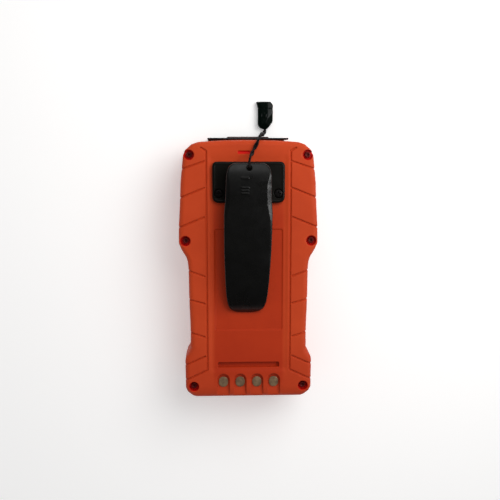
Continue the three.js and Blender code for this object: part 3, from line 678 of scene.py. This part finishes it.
def clip_plate():
    f = Field((-18, 33.9, 33.6), (18, 54.5, 42.4), res(0.19))
    x, y, z = f.x, f.y, f.z
    o = poly2(x[:, :, 0], y[:, :, 0], fillet([(-18, 34.0), (18, 34.0), (18, 54.4), (-18, 54.4)], [3.6, 3.6, 2.6, 2.6], 8))[:, :, None]
    d = round_max(round_max(o, z - 36.4, 0.9), 33.6 - z, 0.15)
    ax = np.abs(x)
    # a raised rim, shallow pads beside the lugs and the two screw seats
    d = cut(d, np.maximum(round_max(o + 1.3, 36.28 - z, 0.1), 8.4 - ax), 0.1)
    rs = np.hypot(ax - 14.8, y - 38.7)
    d = cut(d, np.maximum(rs - 2.3, 35.0 - z), 0.2)
    d = cut(d, rs - 1.2, 0.0)
    lug = np.minimum(np.hypot(y - PIN_Y, z - PIN_Z) - 2.1, np.maximum(np.abs(y - PIN_Y) - 2.1, np.maximum(z - PIN_Z, 35.5 - z)))
    lug = round_max(lug, np.abs(ax - 6.3) - 1.1, 0.25)
    d = round_min(d, lug, 0.35)
    web = np.maximum(np.abs(ax - 6.3) - 0.5, np.maximum((z - 36.2) + np.abs(y - PIN_Y) * 0.55 - 3.0, 35.9 - z))
    d = np.minimum(d, np.maximum(web, np.abs(y - PIN_Y) - 5.0))
    d = cut(d, np.hypot(y - PIN_Y, z - PIN_Z) - 1.5, 0.15)
    return f.mesh("clip_base", d, BLACK, "case", ["clip_plate"], "black_plastic", 0.003)


LEVER = [
    [7.4, 53.8], [8.9, 53.0], [9.9, 51.8], [10.6, 50], [11.0, 47.5], [11.15, 43.5], [11.2, 39.3], [11.35, 36], [11.55, 33.4],
    [11.75, 31], [11.85, 28.5], [11.8, 24], [11.72, 18], [11.6, 12], [11.4, 6.5], [11.1, 0.5], [10.8, -5.5], [10.3, -11.5],
    [9.8, -15.2], [9.1, -17.8], [8.1, -19.5], [6.4, -20.8], [4.2, -21.4], [2, -21.6]]
LEVER_PLAN = fillet([p for p in reversed(LEVER)] + [[-x, y] for x, y in LEVER], 3.0, 4)
LEVER_TOP = smooth_curve([(54.0, 43.3), (50, 44.5), (46, 45.0), (41, 45.2), (30, 45.0), (15, 44.5), (3, 43.6), (-6, 42.3),
                          (-12, 40.8), (-16.5, 38.8), (-19.6, 36.6), (-21.6, 34.3)], 7.0)
LEVER_BOTTOM = smooth_curve([(-21.8, 31.5), (-19.2, 33.5), (-15.8, 35.9), (-11, 38.1), (-7.5, 39.4), (-5.5, 39.5), (37.4, 39.5), (38.4, 38.5), (40.2, 38.0),
                             (43.8, 38.0), (45.6, 38.5), (46.6, 41.0), (54, 41.0)], 0.8)
LEVER_HOLLOW = smooth_curve([(-12, 37.6), (-8, 39.6), (-4, 40.5), (3, 41.5), (15, 42.4), (30, 42.8), (49, 42.9), (52.6, 42.3)], 1.5)
FACET_W = smooth_curve([(54, 0.6), (51.5, 0.9), (48, 1.2), (45.5, 1.9), (43.5, 2.5), (39, 2.75), (34, 2.8), (31, 2.5), (28.5, 2.0), (26, 1.35),
                        (23, 1.0), (15, 0.9), (-10, 0.75), (-20, 0.6)], 1.6)


def clip_lever():
    f = Field((-12.6, -21.7, 33.3), (12.4, 53.9, 45.6), res(0.17))
    x, y, z = f.x, f.y, f.z
    xs = x + 0.27 - 0.0145 * (y - PIN_Y)                 # the lever leans a little to one side
    yy = y[0, :, 0]
    o = poly2(xs[:, :, 0], y[:, :, 0], LEVER_PLAN)[:, :, None]
    zt = LEVER_TOP(yy)[None, :, None]
    w = 0.8 * FACET_W(yy)[None, :, None]
    # a nearly flat back with a facet along each edge, widest at the shoulders
    crown = 0.0022 * xs ** 2
    facet = 0.5 * np.maximum(o + w, 0)
    edge = round_max(z - (zt - crown), (z - (zt - crown - facet)) * 0.89, 0.25)
    slope = np.gradient(LEVER_TOP(yy), yy)[None, :, None]
    d = round_max(o, edge / np.sqrt(1 + slope ** 2), 0.35)
    zb = LEVER_BOTTOM(yy)[None, :, None]
    sb = np.gradient(LEVER_BOTTOM(yy), yy)[None, :, None]
    d = round_max(d, (zb - z) / np.sqrt(1 + np.minimum(sb ** 2, 4)), 0.25)
    zh = LEVER_HOLLOW(yy)[None, :, None]
    hollow = round_max(o + 2.0, np.maximum(np.maximum(z - zh, y - 52.6), -12 - y), 0.6)
    for rx in (-4.2, 4.2):                              # stiffening ribs under the back
        hollow = np.maximum(hollow, -np.maximum(np.maximum(np.abs(xs - rx) - 0.6, np.abs(y - 12) - 20), 40.9 - z))
    for ry in (-4.0, 12.0, 28.0):
        hollow = np.maximum(hollow, -np.maximum(np.maximum(np.abs(y - ry) - 0.5, np.abs(xs) - 9.8), 41.2 - z))
    d = cut(d, hollow, 0.2)
    d = cut(d, np.hypot(y - PIN_Y, z - PIN_Z) - 1.5, 0.1)
    d = cut(d, np.maximum(np.hypot(x, y - 51.4) - 1.2, 38 - z), 0.45)
    for ry, rz in ((46.6, 44.75), (42.0, 45.0), (40.6, 45.0), (39.2, 44.95)):
        rib = np.hypot(np.hypot(y - ry, z - (zt - 0.2)), np.maximum(np.abs(x + 2.1) - 1.6, 0)) - 0.42
        d = round_min(d, rib, 0.15)
    return f.mesh("thumb_lever", d, LEVERMAT, "clip_lever", ["clip_lever"], "black_plastic", 0.0004, True)


def connector():
    cx, cy = 10.15, 71.4
    f = Field((5.2, 70.6, 0.02), (14.3, 85.65, 4.9), res(0.13))
    x, y, z = f.x, f.y, f.z
    pts = [(8.9, 71.2), (10.6, 70.9), (12.2, 72.4), (13.9, 74.7), (14.15, 75.6), (14.15, 83.8), (12.95, 85.5), (5.35, 85.5), (5.5, 84.8),
           (6.15, 82.2), (6.15, 73.6), (6.7, 72.5), (7.6, 71.7)]
    o = poly2(x[:, :, 0], y[:, :, 0], fillet(pts, [0.5, 0.6, 1.0, 1.0, 0.8, 0.5, 0.5, 0.2, 0.4, 0.9, 1.0, 0.8, 0.8], 5))[:, :, None]
    # a dark central face between a narrow facet on the left and a broad one on the right
    zc = 4.8
    right = round_max((z - zc) * 0.97 + (x - 11.2) * 0.24, (z - zc) * 0.86 + (x - 11.2) * 0.44 - (y - 76.6) * 0.20, 0.1)
    left = (z - zc) * 0.85 + (7.7 - x) * 0.55
    nose = (z - zc) * 0.8 + (74.4 - y + 0.35 * (x - 9.8)) * 0.42
    top = round_max(round_max(z - zc, right, 0.12), round_max(left, nose, 0.12), 0.12)
    d = round_max(round_max(o, top, 0.35), 0.03 - z, 0.5)
    # the two halves of the buckle, a release button and the socket for the strap
    d = cut(d, np.maximum(np.abs(y - 82.0) - 0.14, -(d + 0.3)), 0.08)
    d = cut(d, np.maximum(np.abs(np.abs(z - 2.3) - 0.0) - 0.12, -(d + 0.25)), 0.06)
    d = cut(d, np.maximum(np.abs(box2(x, y, 8.3, 10.9, 76.6, 80.0, 1.2)) - 0.1, 4.6 - z), 0.05)
    d = cut(d, np.maximum(box2(x, z, 7.4, 12.6, 1.6, 3.2, 0.6), 84.6 - y), 0.2)
    return f.mesh("quick_release", d, CONNECTOR, "case", ["lanyard_connector"], "black_gloss", 0.001, True)


def tube(name, path, r, mat, body, nodes, sides=14, closed=False, link=True, offsets=None):
    """Round strands along a path in metres; offsets lists, for each strand, its place across the path at each point."""
    path = np.asarray(path, float)
    n = len(path)
    tan = np.gradient(path, axis=0)
    if closed:
        tan = (np.roll(path, -1, 0) - np.roll(path, 1, 0))
    tan /= np.linalg.norm(tan, axis=1, keepdims=True)
    nrm = np.cross(tan[0], [1.0, 0.0, 0.0])
    nrm /= np.linalg.norm(nrm)
    frames = []
    for t in tan:
        nrm = nrm - t * (nrm @ t)
        nrm /= np.linalg.norm(nrm)
        frames.append((nrm.copy(), np.cross(t, nrm)))
    verts, faces = [], []
    for strand in (offsets or [np.zeros((n, 2))]):
        base = len(verts)
        for i, p in enumerate(path):
            a, b = frames[i]
            c = p + a * strand[i][0] + b * strand[i][1]
            for k in range(sides):
                q = 2 * math.pi * k / sides
                verts.append(c + (a * math.cos(q) + b * math.sin(q)) * r)
        rows = n if closed else n - 1
        for i in range(rows):
            j = (i + 1) % n
            for k in range(sides):
                k2 = (k + 1) % sides
                faces.append((base + i * sides + k, base + i * sides + k2, base + j * sides + k2, base + j * sides + k))
        if not closed:
            for i, rev in ((0, True), (n - 1, False)):
                a, b = frames[i]
                c = path[i] + a * strand[i][0] + b * strand[i][1] + tan[i] * r * 0.5 * (-1 if rev else 1)
                verts.append(c)
                m = len(verts) - 1
                for k in range(sides):
                    u, v = base + i * sides + k, base + i * sides + (k + 1) % sides
                    faces.append((v, u, m) if rev else (u, v, m))
    me = bpy.data.meshes.new(name)
    me.from_pydata([tuple(v) for v in verts], [], faces)
    me.update()
    me.polygons.foreach_set("use_smooth", np.ones(len(me.polygons), bool))
    me.materials.append(mat)
    o = bpy.data.objects.new(name, me)
    bpy.context.scene.collection.objects.link(o)
    if body:
        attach(o, body)
    if nodes:
        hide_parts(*nodes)
    return o


def through(points, count):
    """A centripetal Catmull-Rom curve through points in the CAD source's mm, resampled evenly, in metres."""
    p = np.array(points, float)
    p = np.vstack([2 * p[0] - p[1], p, 2 * p[-1] - p[-2]])
    out = []
    for i in range(1, len(p) - 2):
        q = p[i - 1:i + 3]
        t = np.concatenate([[0], np.cumsum(np.linalg.norm(np.diff(q, axis=0), axis=1) ** 0.5)])
        for u in np.linspace(t[1], t[2], 24, endpoint=False):
            a = [(t[k + 1] - u) / (t[k + 1] - t[k]) * q[k] + (u - t[k]) / (t[k + 1] - t[k]) * q[k + 1] for k in range(3)]
            b = [(t[k + 2] - u) / (t[k + 2] - t[k]) * a[k] + (u - t[k]) / (t[k + 2] - t[k]) * a[k + 1] for k in range(2)]
            out.append((t[2] - u) / (t[2] - t[1]) * b[0] + (u - t[1]) / (t[2] - t[1]) * b[1])
    out.append(p[-2])
    out = np.array(out)
    s = np.concatenate([[0], np.cumsum(np.linalg.norm(np.diff(out, axis=0), axis=1))])
    even = np.linspace(0, s[-1], count)
    out = np.stack([np.interp(even, s, out[:, k]) for k in range(3)], 1)
    return (out + [0, SH, 0]) * MM, s[-1] * MM


# ------------------------------------------------------------------ the lanyard
CORD_PATH = [
    [0.5, 56.5, 42.2], [1.05, 57.5, 40.7], [1.75, 58.8, 38.5], [2.6, 60.3, 36.7], [3.5, 62.1, 35.5], [4.6, 64.3, 35.1], [5.5, 66.0, 33.5],
    [6.3, 67.3, 30.4], [7.0, 68.0, 26.0], [7.6, 68.2, 20.0], [8.2, 68.2, 12.0], [8.8, 68.5, 6.6], [9.4, 69.1, 3.9], [9.9, 70.0, 2.65],
    [10.12, 71.05, 2.45]]
line, cord_length = through(CORD_PATH, 150)
turn = np.linspace(0.0, 4.0 * 2 * math.pi, len(line))
spread = 0.00050
strands = [np.stack([spread * np.cos(turn + q), spread * np.sin(turn + q)], 1) for q in (0, math.pi)]
cord = tube("lanyard_strands", line, 0.00050, CORD, None, ["lanyard_cord"], 12, offsets=strands)
clip_release = connector()
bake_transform(cord)
LOOP = [[0.5, 56.75, 42.6], [0.2, 55.8, 43.0], [0.05, 54.7, 43.7], [0, 53.6, 44.35], [0, 52.6, 44.85], [0, 51.8, 44.95], [0, 51.4, 44.2],
        [0, 51.4, 42.6], [0, 51.7, 41.0], [0, 52.7, 40.35], [0, 53.9, 40.5], [0.2, 55.1, 41.1], [0.5, 56.75, 41.75]]
loop_line, _ = through(LOOP, 90)
tube("lanyard_loop", loop_line, 0.00050, CORD, "clip_lever", ["lanyard_eye"], 14)

rear_housing()
front_housing()
fascia()
alarm_lens()
keys()
sensor_cover()
contacts()
clip_plate()
clip_lever()
plate_piece("window_pane", (-19.5, 21, 1.0), (19.5, 51, 2.4), 0.8, GLASS, "case", ["display_window"], "window", 0.3, 0.25)


def pin():
    f = Field((-11.1, PIN_Y - 1.3, PIN_Z - 1.3), (10.6, PIN_Y + 1.3, PIN_Z + 1.3), res(0.14))
    r = np.hypot(f.y - PIN_Y, f.z - PIN_Z)
    d = round_max(r - PIN_R, np.abs(f.x + 0.27) - 10.8, 0.3)
    f.mesh("hinge_pin", d, STEEL, "case", ["clip_pin"], "steel", 0.003)


pin()
for i, (wx, wy) in enumerate(WELLS, 1):
    screw("housing_screw_%d" % i, "case_screw_%d" % i, wx, wy, 30.3, 32.0, 8.0, 1.5, 1.0, 0.02, drive="hex", mat=WELL_SCREW_RED_REFLECTION)
screw("plate_screw_left", "clip_screw_left", -14.8, 38.7, 35.1, 36.4, 29.0, 2.0, 0.9, 0.06)
screw("plate_screw_right", "clip_screw_right", 14.8, 38.7, 35.1, 36.4, 29.0, 2.0, 0.9, 0.06)
screw("grille_screw_1", "sensor_cover_screw_1", 20.6, -28.5, 1.7, 0.95, 7.5, 1.9, 1.0, 0.04, down=True, mat=STEEL)
screw("grille_screw_2", "sensor_cover_screw_2", -20.6, -28.5, 1.7, 0.95, 7.5, 1.9, 1.0, 0.04, down=True, mat=STEEL)

# ------------------------------------------------------------------ floor and lights
bpy.ops.mesh.primitive_plane_add(size=6, location=(0, 0, LO0.z))
floor = bpy.context.object
floor.name = "studio_floor"
fm, fnt, fb = material("studio_floor", (0.86, 0.86, 0.86), 0.9)
fb.inputs["Emission Color"].default_value = (1, 1, 1, 1)
fb.inputs["Emission Strength"].default_value = 0.30
floor.data.materials.append(fm)
world = bpy.data.worlds.new("studio")
bpy.context.scene.world = world
world.use_nodes = True
world.node_tree.nodes["Background"].inputs["Color"].default_value = (1.0, 1.0, 1.0, 1)
world.node_tree.nodes["Background"].inputs["Strength"].default_value = 0.42
world.cycles_visibility.glossy = False


def area(name, loc, target, size, power, color=(1, 1, 1)):
    l = bpy.data.lights.new(name, "AREA")
    l.shape, l.size, l.size_y = "RECTANGLE", size[0], size[1]
    l.energy, l.color = power, color
    o = bpy.data.objects.new(name, l)
    bpy.context.scene.collection.objects.link(o)
    o.location = loc
    o.rotation_mode = "QUATERNION"
    o.rotation_quaternion = (Vector(target) - Vector(loc)).to_track_quat("-Z", "Y")
    return o


key = area("key", (0.15, 0.20, 0.32), (0, 0.03, 0.03), (0.30, 0.30), 1.12, (1.0, 0.98, 0.96))
key.visible_glossy = False
sheen = area("sheen", (0.05, 0.45, 0.62), (0, 0.02, 0.03), (0.5, 0.3), 0.5)
sheen.visible_diffuse = False
strip = area("side_strip", (0.40, 0.08, 0.36), (0, 0.01, 0.04), (0.10, 0.42), 0.95)
strip.visible_diffuse = False
bpy.context.scene.view_settings.view_transform = "Standard"
